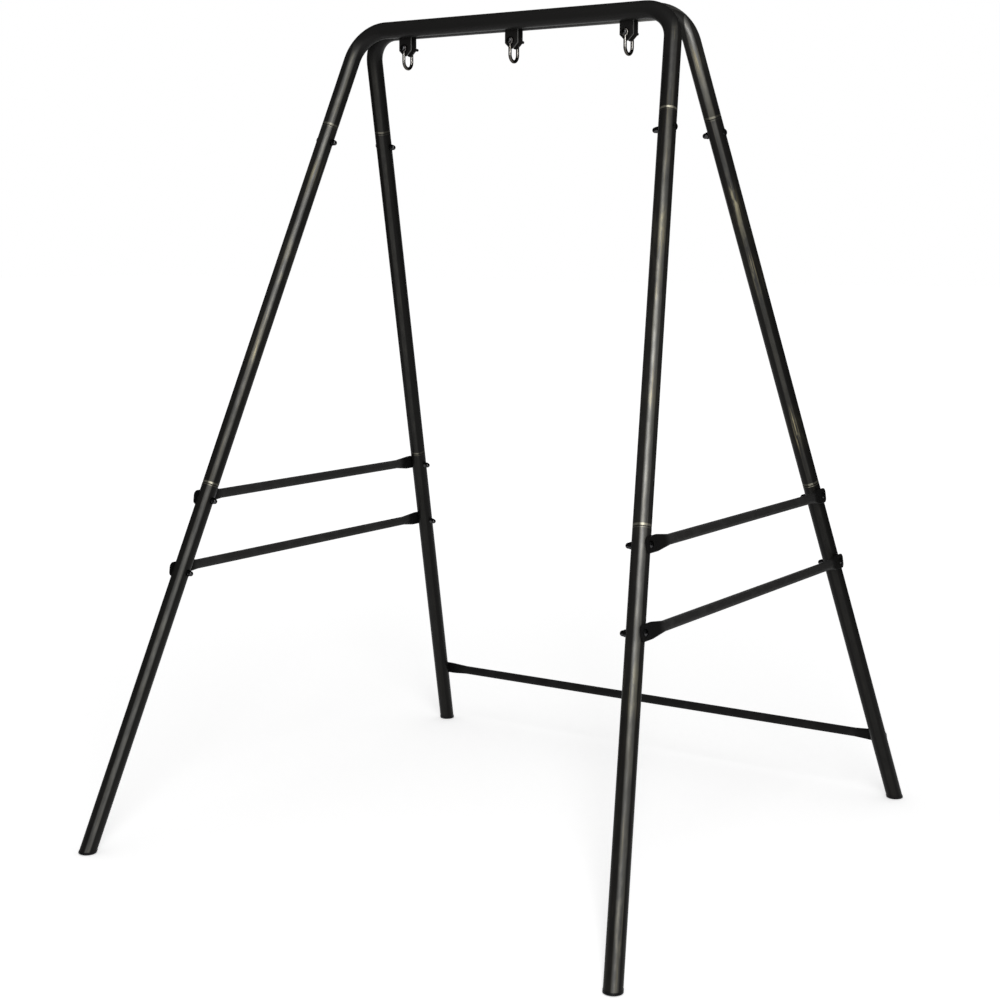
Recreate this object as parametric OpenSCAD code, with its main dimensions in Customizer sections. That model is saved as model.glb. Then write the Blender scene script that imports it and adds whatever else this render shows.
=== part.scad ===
// Free-standing indoor swing frame: two bent top tubes side by side, four
// legs in two lengths of tube each, five braces with flattened ends, and
// three shackles that hang from bolted ears under the crossbar.
// Millimetres, +Z up, +X along the crossbar, +Y to the rear. The origin is
// on the floor, under the middle of the crossbar.

/* [Overall] */
// Height of the crossbar's axis above the floor
bar_height = 1850; // [1600:5:2100]
// From the middle to the corner where a leg's axis meets the crossbar's
corner_x = 413; // [390:1:500]
// From the middle to a foot, along the crossbar
foot_x = 681; // [560:1:800]
// From the middle to a foot, across the crossbar
foot_y = 704; // [560:1:850]

/* [Top tubes and legs] */
// Outside diameter of the top tubes and the legs
tube_d = 38; // [34:0.5:44]
// Wall of the top tubes and the legs
tube_wall = 1.5; // [1.2:0.1:2.5]
// Gap between the two top tubes
tube_gap = 1; // [0.2:0.1:4]
// Centre-line radius of the bends at the ends of the crossbar
bend_r = 80; // [60:1:100]
// How much the tube's radius shrinks where it is bent
bend_thin = 0.1; // [0.02:0.01:0.2]
// From the corner to the upper joint, along the leg
stub_len = 237; // [180:1:320]
// Length of leg that shows between the two joints
upper_leg_len = 878; // [700:1:950]
// Length of the reduced end that enters the tube below it
spigot_len = 75; // [60:1:110]
// Radial clearance of a reduced end in the tube around it
spigot_clear = 0.15; // [0.1:0.05:0.3]
// Bevel on the tube edges that meet at a joint
joint_bevel = 0.9; // [0.3:0.1:1.2]
// From the upper joint down to its bolt
upper_bolt_drop = 36; // [25:1:50]
// From the lower joint down to its bolt, which also holds the upper brace
lower_bolt_drop = 35; // [25:1:50]

/* [Braces] */
// Outside diameter of the brace tubes
brace_d = 22; // [18:0.5:26]
// Wall of the brace tubes
brace_wall = 1.5; // [1:0.1:2]
// Gap between the two walls where a brace is pressed flat
flat_slit = 0.6; // [0.4:0.1:1]
// Height of the flattened ends
flat_h = 34; // [28:0.5:42]
// Length of a flattened end from its bolt towards the brace's middle
flat_len = 27; // [24:1:40]
// Length over which a brace changes from round to flat
flat_taper = 46; // [30:1:70]
// Radius on the corners of the flattened ends
flat_corner = 11; // [4:0.5:14]
// How far a side brace runs past its bolt
side_brace_end = 16; // [14:0.5:26]
// How far the rear brace runs past its bolt
rear_brace_end = 10; // [9:0.5:26]
// From the lower joint down to the lower side brace
lower_brace_drop = 208; // [120:1:300]
// From the floor end of a leg up to the rear brace, along the leg
rear_brace_up = 166; // [100:1:300]

/* [Feet] */
// Thickness of the sole under a leg
sole_t = 7; // [5:0.5:8]
// How far the sole stands out past the leg
sole_lip = 0.7; // [0.2:0.1:3]
// How far in from its narrow sides the sole starts to curve up from the floor
sole_edge = 4.5; // [3:0.5:6]
// Radius of that curve
sole_round = 7; // [6:0.5:10]
// Length of the plug inside the leg
plug_len = 30; // [20:1:60]
// Radial clearance of the plug in the leg
plug_clear = 0.1; // [0.05:0.05:0.3]

/* [Hangers] */
// From the middle hanger to an outer one
hanger_pitch = 293; // [200:1:295]
// From the underside of the crossbar down to the hanger bolts
hanger_drop = 23; // [22:0.5:30]
// Width of an ear along the crossbar
ear_w = 33; // [27:0.5:40]
// Thickness of an ear
ear_t = 3.6; // [3:0.1:5]
// Clear space between the front and the rear ear
ear_gap = 15; // [10:0.5:18]
// From the hanger bolt down to where an ear starts to narrow
ear_shoulder = 5; // [0:0.5:8]
// From the hanger bolt down to the tip of an ear
ear_end = 18; // [14:0.5:20]
// Radius of the tip of an ear
ear_tip_r = 8; // [6:0.5:10]
// Gap at a weld, between an ear or a weld nut and its tube
weld_gap = 0.05; // [0.02:0.01:0.2]

/* [Shackles] */
// Diameter of the shackle's round bar
wire_d = 7.5; // [5:0.5:8]
// From the hanger bolt down to the outside of the bow
shackle_len = 49; // [44:0.5:52]
// Diameter of the eyes
eye_d = 17; // [14:0.5:19]
// Thickness of the eyes
eye_t = 7.6; // [7.2:0.1:9]
// Radius on the edges of the eyes
eye_round = 2.8; // [0.5:0.1:3.4]
// Play between an eye and the ear or the fastener beside it
eye_play = 0.5; // [0.3:0.1:1]
// Radial clearance of an eye on its bolt
eye_clear = 0.1; // [0.05:0.01:0.2]

/* [Fasteners] */
// Diameter of the bolts through the legs and the braces
bolt_d = 8; // [6:0.5:8.5]
// Radial clearance of a bolt in the holes that it only passes through
bolt_clear = 0.25; // [0.1:0.05:0.5]
// Diameter of the domed head of such a bolt
head_d = 15; // [13:0.5:18]
// Height of the domed head of such a bolt
head_h = 4.6; // [4:0.1:6]
// Height of the straight rim under the dome of every head
head_rim = 1; // [0.5:0.1:1.5]
// Width across flats of the socket in such a head
socket_af = 5; // [4:0.5:6]
// Depth of the socket in such a head
socket_depth = 2.6; // [1.5:0.1:3]
// Bevel on the end of every bolt
bolt_point = 1; // [0.4:0.1:1.5]
// Width across flats of a cap nut
nut_af = 13; // [12:0.5:15]
// How far the turned ends of every nut stand in from its flats
nut_turn = 0.3; // [0.1:0.1:0.3]
// Height of the six-sided part of a cap nut
nut_h = 6.5; // [5:0.5:8]
// Height of a whole cap nut
cap_nut_h = 15; // [14:0.5:18]
// How far the dome of a cap nut stands in from its flats
cap_nut_step = 0.5; // [0.4:0.1:1]
// How far a bolt reaches into its cap nut
cap_nut_reach = 8.5; // [6:0.5:8.5]
// Room left past a bolt's end inside its cap nut
cap_nut_room = 0.6; // [0.3:0.1:0.8]
// Radial clearance of a bolt in its nut
thread_clear = 0.05; // [0.02:0.01:0.1]
// Diameter of the hanger bolts
hanger_bolt_d = 6; // [5:0.5:8]
// Diameter of the domed head of a hanger bolt
hanger_head_d = 11; // [9.5:0.5:15]
// Height of the domed head of a hanger bolt
hanger_head_h = 3.4; // [3:0.1:4.6]
// Width across flats of the socket in a hanger bolt's head
hanger_socket_af = 4; // [3:0.5:4.5]
// Depth of the socket in a hanger bolt's head
hanger_socket_depth = 1.9; // [1:0.1:2.2]
// Width across flats of the lock nuts on the hanger bolts
lock_nut_af = 10; // [10:0.5:13]
// Height of the lock nuts on the hanger bolts
lock_nut_h = 6; // [5:0.5:10]
// How far a hanger bolt stands out of its lock nut
hanger_bolt_tail = 14; // [2:0.5:16]
// Height of the weld nuts inside the rear legs, which hold the rear brace
weld_nut_h = 6.5; // [5:0.5:8]
// How far a rear brace bolt stands out of its weld nut
rear_bolt_tail = 3; // [1:0.5:6]
// Gap where a flat seat meets a round tube
seat_gap = 0.05; // [0.02:0.01:0.2]

/* [Hidden] */
$fn = 64;
// Few-sided circles for the blended brace ends
blend_fn = 32;
// Thickness of the slices that a blend runs between
slice = 0.2;
// Overlap that makes joined shapes one solid, and cuts run clear
lap = 1;

// Sides and rows of legs
left = -1;
right = 1;
front = -1;
rear = 1;
sides = [left, right];
rows = [front, rear];

// Radii
tube_r = tube_d / 2;
bore_r = tube_r - tube_wall;
spigot_r = bore_r - spigot_clear;
spigot_bore_r = spigot_r - tube_wall;
bevel = min(joint_bevel, 0.7 * tube_wall);
hole_d = bolt_d + 2 * bolt_clear;
hanger_hole_d = hanger_bolt_d + 2 * bolt_clear;

// Leg axes: from a corner of the crossbar to a point on the floor
row_y = (tube_d + tube_gap) / 2;
run_x = foot_x - corner_x;
run_y = foot_y - row_y;
leg_axis = norm([run_x, run_y, bar_height]);
// Lean of a side's two legs about Y, and of each leg within that side
side_tilt = atan(run_x / bar_height);
leg_tilt = asin(run_y / leg_axis);
// Lean of a row's two legs about X, and of each leg within that row
row_tilt = atan(run_y / bar_height);
leg_spread = asin(run_x / leg_axis);

// Bends
bend_turn = 90 - leg_spread;
bend_tangent = bend_r * tan(bend_turn / 2);
bar_straight = corner_x - bend_tangent;

// Distances along a leg, from its corner
upper_joint = stub_len;
lower_joint = stub_len + upper_leg_len;
upper_bolt_at = upper_joint + upper_bolt_drop;
upper_brace_at = lower_joint + lower_bolt_drop;
lower_brace_at = lower_joint + lower_brace_drop;
rear_brace_at = leg_axis - rear_brace_up;

// Braces
flat_t = 2 * brace_wall + flat_slit;
brace_out = tube_r + seat_gap + flat_t / 2;
brace_seat = tube_r + 2 * seat_gap + flat_t;

// Feet
sole_r = tube_r + sole_lip;

// Hangers
hanger_xs = [-hanger_pitch, 0, hanger_pitch];
hanger_z = bar_height - tube_r - hanger_drop;
ear_y = ear_gap / 2 + ear_t / 2;
eye_y = ear_gap / 2 + ear_t + eye_play + eye_t / 2;
hanger_seat = eye_y + eye_t / 2 + eye_play;
bow_z = hanger_z - shackle_len + eye_y + wire_d / 2;
hanger_bolt_len = 2 * hanger_seat + lock_nut_h + hanger_bolt_tail;

// Colours
black_paint = "#232220";
brace_paint = "#1b1b1c";
black_zinc = "#18181a";
bright_steel = "#b9b6ad";
black_plastic = "#121213";

// Mirrors its children when asked to
module mirrored(on, axis) {
  if (on)
    mirror(axis) children();
  else
    children();
}

// Frame of one leg: the leg runs along -Z from its corner, and +X faces out
module at_leg(side, row)
  mirrored(side == left, [1, 0, 0]) mirrored(row == rear, [0, 1, 0])
    translate([corner_x, -row_y, bar_height])
      rotate([-leg_tilt, -side_tilt, 0])
        children();

// Frame of one side: legs and braces lie in its YZ plane, and +X faces out
module at_side(side)
  mirrored(side == left, [1, 0, 0])
    translate([corner_x, 0, bar_height])
      rotate([0, -side_tilt, 0])
        children();

// Frame of one row: a top tube and its legs lie in its XZ plane
module at_row(row)
  translate([0, row * row_y, bar_height])
    rotate([row * row_tilt, 0, 0])
      children();

// Straight rod on the leg axis between two distances from the corner
module rod_run(r, start, end)
  translate([0, 0, -end])
    cylinder(r = r, h = end - start);

// Hole for a bolt through a leg, square to the side that the leg is in
module leg_hole(at)
  translate([0, 0, -at])
    rotate([0, 90, 0])
      cylinder(d = hole_d, h = tube_d + 2 * lap, center = true);

// Crossbar and its two bends, swept by a round rod
module bar_rod(r) {
  rotate([0, 90, 0])
    cylinder(r = r, h = 2 * (bar_straight + lap), center = true);
  for (side = sides)
    mirrored(side == left, [1, 0, 0])
      translate([bar_straight, 0, -bend_r])
        rotate([90, 0, 0])
          rotate([0, 0, 90 - bend_turn])
            rotate_extrude(angle = bend_turn)
              translate([bend_r, 0])
                circle(r = r - bend_thin);
}

// Reduced end of a tube, whose shoulder meets the tube below at a joint
module spigot(joint)
  rotate_extrude()
    polygon([
      [spigot_bore_r, -joint + bevel],
      [tube_r, -joint + bevel],
      [tube_r - bevel, -joint],
      [spigot_r, -joint],
      [spigot_r, -joint - spigot_len + bevel],
      [spigot_r - bevel, -joint - spigot_len],
      [spigot_bore_r, -joint - spigot_len]
    ]);

// Inside of the shoulder above a joint
module shoulder_bore(joint)
  translate([0, 0, -joint + bevel - lap])
    cylinder(r = spigot_bore_r, h = 2 * tube_wall + lap);

// Top tube: the crossbar, a bend at each end and the stubs of two legs
module top_tube(row)
  color(black_paint)
    difference() {
      union() {
        at_row(row)
          bar_rod(tube_r);
        for (side = sides)
          at_leg(side, row) {
            rod_run(tube_r, bend_tangent - lap, upper_joint - bevel);
            spigot(upper_joint);
          }
      }
      at_row(row)
        bar_rod(bore_r);
      for (side = sides)
        at_leg(side, row) {
          rod_run(bore_r, bend_tangent - lap, upper_joint - bevel - 2 * tube_wall);
          shoulder_bore(upper_joint);
          leg_hole(upper_bolt_at);
        }
    }

// Upper length of a leg, with its own reduced end below
module upper_leg(side, row)
  color(black_paint)
    at_leg(side, row)
      difference() {
        union() {
          leg_top(upper_joint);
          rod_run(tube_r, upper_joint + bevel, lower_joint - bevel);
          spigot(lower_joint);
        }
        rod_run(bore_r, upper_joint - lap, lower_joint - bevel - 2 * tube_wall);
        shoulder_bore(lower_joint);
        leg_hole(upper_bolt_at);
        leg_hole(upper_brace_at);
      }

// Bevelled upper end of a length of leg
module leg_top(joint)
  translate([0, 0, -joint - bevel])
    cylinder(r1 = tube_r, r2 = tube_r - bevel, h = bevel);

// Lower length of a leg, cut level above the sole of its foot
module lower_leg(side, row)
  color(black_paint)
    difference() {
      at_leg(side, row)
        difference() {
          union() {
            leg_top(lower_joint);
            rod_run(tube_r, lower_joint + bevel, leg_axis + tube_d);
          }
          rod_run(bore_r, lower_joint - lap, leg_axis + tube_d + lap);
          leg_hole(upper_brace_at);
          leg_hole(lower_brace_at);
        }
      floor_cut(sole_t);
      if (row == rear)
        rear_brace_spot(side)
          rotate([-90, 0, 0])
            cylinder(d = hole_d, h = tube_r + lap);
    }

// Everything below a height, under the whole frame
module floor_cut(height)
  translate([-2 * foot_x, -2 * foot_y, height - bar_height])
    cube([4 * foot_x, 4 * foot_y, bar_height]);

// Foot: a sole that follows the slanted leg, with a plug up inside the leg
module foot(side, row)
  color(black_plastic) {
    intersection() {
      at_leg(side, row)
        rod_run(sole_r, leg_axis - tube_d, leg_axis + tube_d);
      sole_blank(side, row);
      translate([-2 * foot_x, -2 * foot_y, 0])
        cube([4 * foot_x, 4 * foot_y, sole_t]);
    }
    difference() {
      at_leg(side, row)
        rod_run(bore_r - plug_clear, leg_axis - sole_t - plug_len, leg_axis);
      floor_cut(sole_t / 2);
    }
  }

// Round-edged puck that a sole is cut from, about the leg's axis at half the sole's height
module sole_blank(side, row) {
  flat_r = sole_r - sole_edge;
  rise = sole_t / 2 / bar_height;
  translate([side * (foot_x - run_x * rise), row * (foot_y - run_y * rise), 0])
    rotate_extrude() {
      square([flat_r, 2 * sole_round]);
      translate([flat_r, sole_round])
        circle(r = sole_round);
    }
}

// Round bar along Y, from one place to another
module y_rod(d, start, end)
  translate([0, start, 0])
    rotate([-90, 0, 0])
      cylinder(d = d, h = end - start);

// Flat section with folded edges, along Y
module flat_rod(t, h, start, end) {
  translate([-t / 2, start, t / 2 - h / 2])
    cube([t, end - start, h - t]);
  for (edge = [-1, 1])
    translate([0, 0, edge * (h - t) / 2])
      y_rod(t, start, end);
}

// Change of section from round to flat, along Y
module round_to_flat(d, t, h, start, end)
  hull() {
    y_rod(d, start, start + slice, $fn = blend_fn);
    for (edge = [-1, 1])
      translate([0, 0, edge * (h - t) / 2])
        y_rod(t, end - slice, end, $fn = blend_fn);
  }

// Outline of a flattened end, from the taper to its round corners
module flat_outline(length) {
  translate([-lap, -flat_h / 2])
    square([length - flat_corner + lap, flat_h]);
  translate([-lap, flat_corner - flat_h / 2])
    square([length + lap, flat_h - 2 * flat_corner]);
  for (edge = [-1, 1])
    translate([length - flat_corner, edge * (flat_h / 2 - flat_corner)])
      circle(r = flat_corner);
}

// Brace along Y with its bolts at plus and minus reach, pressed flat at both ends
module brace(reach, past_bolt) {
  flat_start = reach - flat_len;
  taper_start = flat_start - flat_taper;
  flat_end = reach + past_bolt;
  bore_d = brace_d - 2 * brace_wall;
  slit_h = flat_h - 2 * brace_wall;
  color(brace_paint)
    difference() {
      union() {
        y_rod(brace_d, -taper_start, taper_start);
        for (end = [-1, 1])
          mirrored(end < 0, [0, 1, 0]) {
            round_to_flat(brace_d, flat_t, flat_h, taper_start - slice / 2, flat_start + slice / 2);
            intersection() {
              flat_rod(flat_t, flat_h, flat_start, flat_end);
              translate([0, flat_start, 0])
                rotate([90, 0, 90])
                  linear_extrude(flat_t + 2 * lap, center = true)
                    flat_outline(flat_end - flat_start);
            }
          }
      }
      y_rod(bore_d, -taper_start, taper_start);
      for (end = [-1, 1])
        mirrored(end < 0, [0, 1, 0]) {
          round_to_flat(bore_d, flat_slit, slit_h, taper_start - slice / 2, flat_start + slice / 2);
          translate([-flat_slit / 2, flat_start, -slit_h / 2])
            cube([flat_slit, flat_end - flat_start + lap, slit_h]);
          translate([0, reach, 0])
            rotate([0, 90, 0])
              cylinder(d = hole_d, h = flat_t + 2 * lap, center = true);
        }
    }
}

// Side brace on the outer face of a front and a rear leg
module side_brace(side, at)
  at_side(side)
    translate([brace_out, 0, -at * cos(leg_tilt)])
      brace(row_y + at * sin(leg_tilt), side_brace_end);

// Middle of a rear leg at the rear brace, with +Y facing out
module rear_brace_spot(side)
  at_row(rear)
    translate([side * (corner_x + rear_brace_at * sin(leg_spread)), 0, -rear_brace_at * cos(leg_spread)])
      children();

// Rear brace on the rear face of the two rear legs
module rear_brace()
  at_row(rear)
    translate([0, brace_out, -rear_brace_at * cos(leg_spread)])
      rotate([0, 0, 90])
        brace(corner_x + rear_brace_at * sin(leg_spread), rear_brace_end);

// Outline of an ear about the hanger bolt, up to the level of the tube's axis
module ear_outline() {
  tip = [0, ear_tip_r - ear_end];
  corner = [ear_w / 2, -ear_shoulder];
  reach = corner - tip;
  touch = atan2(reach.y, reach.x) - acos(ear_tip_r / norm(reach));
  side_end = tip + ear_tip_r * [cos(touch), sin(touch)];
  top = bar_height - hanger_z;
  polygon([
    [-corner.x, top],
    [corner.x, top],
    corner,
    side_end,
    [-side_end.x, side_end.y],
    [-corner.x, corner.y]
  ]);
  translate(tip)
    circle(r = ear_tip_r);
}

// One row of ears, shaped to the underside of its tube
module hanger_ears(row)
  color(black_paint)
    for (x = hanger_xs)
      difference() {
        translate([x, row * ear_y, hanger_z])
          rotate([90, 0, 0])
            linear_extrude(ear_t, center = true)
              ear_outline();
        translate([x, row * row_y, bar_height])
          rotate([0, 90, 0])
            cylinder(r = tube_r + weld_gap, h = ear_w + 2 * lap, center = true);
        translate([x, row * ear_y, hanger_z])
          rotate([90, 0, 0])
            cylinder(d = hanger_hole_d, h = ear_t + 2 * lap, center = true);
      }

// Half outline of an eye with round edges
module eye_half() {
  round_x = eye_d / 2 - eye_round;
  round_y = eye_t / 2 - eye_round;
  translate([0, -eye_t / 2])
    square([round_x, eye_t]);
  translate([0, -round_y])
    square([eye_d / 2, 2 * round_y]);
  for (edge = [-1, 1])
    translate([round_x, edge * round_y])
      circle(r = eye_round);
}

// Shackle: a bow of round bar with an eye outside each ear
module shackle(x)
  color(bright_steel)
    translate([x, 0, 0])
      difference() {
        union() {
          translate([0, 0, bow_z])
            rotate([90, 0, 90])
              rotate([0, 0, 180])
                rotate_extrude(angle = 180)
                  translate([eye_y, 0])
                    circle(d = wire_d);
          for (row = rows)
            translate([0, row * eye_y, 0]) {
              translate([0, 0, bow_z])
                cylinder(d = wire_d, h = hanger_z - bow_z);
              translate([0, 0, hanger_z])
                rotate([90, 0, 0])
                  rotate_extrude()
                    eye_half();
            }
        }
        translate([0, 0, hanger_z])
          rotate([90, 0, 0])
            cylinder(d = hanger_bolt_d + 2 * eye_clear, h = 2 * hanger_seat, center = true);
      }

// Bolt along -Z with its domed socket head above the seat at zero
module bolt(length, d = bolt_d, cap_d = head_d, cap_h = head_h, key = socket_af, key_depth = socket_depth)
  color(black_zinc) {
    dome_h = cap_h - head_rim;
    dome_r = (pow(cap_d / 2, 2) + pow(dome_h, 2)) / (2 * dome_h);
    translate([0, 0, -length])
      cylinder(d1 = d - 2 * bolt_point, d2 = d, h = bolt_point);
    translate([0, 0, bolt_point - length])
      cylinder(d = d, h = length - bolt_point + head_rim / 2);
    difference() {
      intersection() {
        cylinder(d = cap_d, h = cap_h);
        translate([0, 0, cap_h - dome_r])
          sphere(r = dome_r);
      }
      translate([0, 0, cap_h - key_depth])
        cylinder(d = key / cos(30), h = key_depth + lap, $fn = 6);
    }
  }

// Six-sided body of a nut, with its corners turned off at both ends
module hex_body(af, h) {
  corner_r = af / 2 / cos(30);
  face_r = af / 2 - nut_turn;
  outer_r = corner_r + lap;
  rise = (outer_r - face_r) * tan(30);
  intersection() {
    cylinder(r = corner_r, h = h, $fn = 6);
    rotate_extrude()
      polygon([[0, 0], [face_r, 0], [outer_r, rise], [outer_r, h - rise], [face_r, h], [0, h]]);
  }
}

// Cap nut that stands up from its seat at zero
module cap_nut()
  color(black_zinc) {
    dome_d = nut_af - 2 * cap_nut_step;
    difference() {
      union() {
        hex_body(nut_af, nut_h);
        translate([0, 0, nut_h / 2])
          cylinder(d = dome_d, h = cap_nut_h - dome_d / 2 - nut_h / 2);
        translate([0, 0, cap_nut_h - dome_d / 2])
          sphere(d = dome_d);
      }
      translate([0, 0, -lap])
        cylinder(d = bolt_d + 2 * thread_clear, h = cap_nut_reach + cap_nut_room + lap);
    }
  }

// Bolts through the legs at one distance from the corners, heads outside
module leg_bolts(at, seat)
  for (side = sides, row = rows)
    at_leg(side, row)
      translate([seat, 0, -at])
        rotate([0, 90, 0])
          bolt(seat + tube_r + seat_gap + cap_nut_reach);

// Cap nuts inside the legs' space, on the bolts at one distance from the corners
module leg_cap_nuts(at)
  for (side = sides, row = rows)
    at_leg(side, row)
      translate([-tube_r - seat_gap, 0, -at])
        rotate([0, -90, 0])
          cap_nut();

// Bolts of the rear brace, heads behind its flattened ends
module rear_brace_bolts()
  for (side = sides)
    rear_brace_spot(side)
      translate([0, brace_seat, 0])
        rotate([-90, 0, 0])
          bolt(brace_seat - bore_r + weld_nut_h + rear_bolt_tail);

// Nuts of the rear brace, welded to the wall inside the rear legs
module rear_brace_weld_nuts()
  color(black_zinc)
    for (side = sides)
      rear_brace_spot(side)
        difference() {
          intersection() {
            translate([0, bore_r - weld_nut_h, 0])
              rotate([-90, 0, 0])
                cylinder(d = nut_af / cos(30), h = weld_nut_h, $fn = 6);
            rotate([0, -side * leg_spread, 0])
              cylinder(r = bore_r - weld_gap, h = 2 * nut_af, center = true);
          }
          rotate([-90, 0, 0])
            cylinder(d = bolt_d + 2 * thread_clear, h = tube_r);
        }

// Bolts that tie the ears together and carry the shackles, heads to the front
module hanger_bolts()
  for (x = hanger_xs)
    translate([x, -hanger_seat, hanger_z])
      rotate([90, 0, 0])
        bolt(hanger_bolt_len, hanger_bolt_d, hanger_head_d, hanger_head_h, hanger_socket_af,
             hanger_socket_depth);

// Lock nuts at the rear of the hanger bolts
module hanger_lock_nuts()
  color(black_zinc)
    for (x = hanger_xs)
      translate([x, hanger_seat, hanger_z])
        rotate([-90, 0, 0])
          difference() {
            hex_body(lock_nut_af, lock_nut_h);
            translate([0, 0, -lap])
              cylinder(d = hanger_bolt_d + 2 * thread_clear, h = lock_nut_h + 2 * lap);
          }

top_tube(front);  // front_top_tube
top_tube(rear);  // rear_top_tube
upper_leg(left, front);  // upper_leg_front_left
upper_leg(right, front);  // upper_leg_front_right
upper_leg(left, rear);  // upper_leg_rear_left
upper_leg(right, rear);  // upper_leg_rear_right
lower_leg(left, front);  // lower_leg_front_left
lower_leg(right, front);  // lower_leg_front_right
lower_leg(left, rear);  // lower_leg_rear_left
lower_leg(right, rear);  // lower_leg_rear_right
foot(left, front);  // foot_front_left
foot(right, front);  // foot_front_right
foot(left, rear);  // foot_rear_left
foot(right, rear);  // foot_rear_right
side_brace(left, upper_brace_at);  // left_upper_brace
side_brace(left, lower_brace_at);  // left_lower_brace
side_brace(right, upper_brace_at);  // right_upper_brace
side_brace(right, lower_brace_at);  // right_lower_brace
rear_brace();
hanger_ears(front);  // front_hanger_ears
hanger_ears(rear);  // rear_hanger_ears
hanger_bolts();
hanger_lock_nuts();
shackle(-hanger_pitch);  // left_shackle
shackle(0);  // middle_shackle
shackle(hanger_pitch);  // right_shackle
leg_bolts(upper_bolt_at, tube_r + seat_gap);  // leg_joint_bolts
leg_cap_nuts(upper_bolt_at);  // leg_joint_cap_nuts
leg_bolts(upper_brace_at, brace_seat);  // upper_brace_bolts
leg_cap_nuts(upper_brace_at);  // upper_brace_cap_nuts
leg_bolts(lower_brace_at, brace_seat);  // lower_brace_bolts
leg_cap_nuts(lower_brace_at);  // lower_brace_cap_nuts
rear_brace_bolts();
rear_brace_weld_nuts();
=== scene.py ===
"""Looks of a free-standing indoor swing frame: brushed tubes, braces, hangers, shackles and feet.

Metres, +Z up, +X along the crossbar, +Y to the rear. The origin is on the floor, under the middle
of the crossbar.
"""

import logging
import math
from dataclasses import dataclass, field
from enum import Enum, IntEnum
from typing import Iterable, Iterator, Optional, Sequence, Union

import bmesh
import bpy
from mathutils import Matrix, Vector

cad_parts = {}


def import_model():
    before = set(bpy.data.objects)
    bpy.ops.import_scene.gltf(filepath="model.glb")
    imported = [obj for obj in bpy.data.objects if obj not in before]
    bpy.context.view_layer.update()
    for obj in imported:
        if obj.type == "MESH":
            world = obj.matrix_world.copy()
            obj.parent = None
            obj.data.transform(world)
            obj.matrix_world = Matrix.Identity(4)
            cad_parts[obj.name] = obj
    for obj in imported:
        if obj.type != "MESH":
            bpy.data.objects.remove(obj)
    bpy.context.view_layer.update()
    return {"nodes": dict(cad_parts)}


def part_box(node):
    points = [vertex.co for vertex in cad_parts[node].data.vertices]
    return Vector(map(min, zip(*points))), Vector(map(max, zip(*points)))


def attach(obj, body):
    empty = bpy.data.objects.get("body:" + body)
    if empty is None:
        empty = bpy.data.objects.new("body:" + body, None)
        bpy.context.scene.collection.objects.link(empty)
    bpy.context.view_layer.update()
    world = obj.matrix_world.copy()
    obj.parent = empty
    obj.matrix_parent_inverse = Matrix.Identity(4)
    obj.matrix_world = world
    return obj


LOG = logging.getLogger("swing_frame")

FRAME_BODY = "frame"
# Points of a new piece that are closer than this become one
MERGE_DISTANCE = 1e-6

Triple = tuple[float, float, float]
Colour = Triple
Span = tuple[float, float]
Socket = bpy.types.NodeSocket
Level = Union[float, Socket]
Shade = Union[Colour, Socket]
Nodes = dict[str, bpy.types.Object]


class Side(Enum):
    """The two ends of the crossbar."""

    LEFT = -1
    RIGHT = 1


class Row(Enum):
    """The two rows of legs, each under its own top tube."""

    FRONT = -1
    REAR = 1


class Axis(IntEnum):
    """The axes of a place."""

    X = 0
    Y = 1
    Z = 2


class Slot(Enum):
    """Names of two material slots, which the script doesn't use."""

    EARS = "ear_paint"
    HARDWARE = "black_hardware"


@dataclass(frozen=True)
class LegLine:
    """Axis of one leg, from its corner on the crossbar down to the floor."""

    side: Side
    row: Row
    corner: Vector
    foot: Vector

    def turn(self) -> Matrix:
        """Gives the rotation whose X faces out along the crossbar and whose Z runs up the leg.

        Returns:
            The rotation.
        """
        up = (self.corner - self.foot).normalized()
        outward = Vector((self.side.value, 0.0, 0.0))
        out = (outward - outward.dot(up) * up).normalized()
        return Matrix((out, up.cross(out), up)).transposed()


@dataclass(frozen=True)
class FrameLayout:
    """Sizes of the frame that its finishes follow."""

    bar_height: float = 1.850
    corner_x: float = 0.413
    foot_x: float = 0.681
    foot_y: float = 0.704
    tube_d: float = 0.038
    tube_gap: float = 0.001
    stub_len: float = 0.237
    upper_leg_len: float = 0.878

    @property
    def row_y(self) -> float:
        """Distance of a top tube's axis from the middle."""
        return (self.tube_d + self.tube_gap) / 2

    @property
    def lower_joint(self) -> float:
        """Distance of the lower joints from the corners, along a leg."""
        return self.stub_len + self.upper_leg_len

    @property
    def leg_len(self) -> float:
        """Length of a leg's axis, from its corner to the floor."""
        leg = self.leg(Side.RIGHT, Row.FRONT)
        return (leg.corner - leg.foot).length

    def leg(self, side: Side, row: Row) -> LegLine:
        """Gives the axis of one leg.

        Args:
            side: The end of the crossbar that the leg is at.
            row: The row that the leg is in.

        Returns:
            The leg's axis.
        """
        corner = Vector((side.value * self.corner_x, row.value * self.row_y, self.bar_height))
        foot = Vector((side.value * self.foot_x, row.value * self.foot_y, 0.0))
        return LegLine(side, row, corner, foot)

    def legs(self) -> list[LegLine]:
        """Lists the axes of all four legs, the front row first."""
        return [self.leg(side, row) for row in Row for side in Side]


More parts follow.
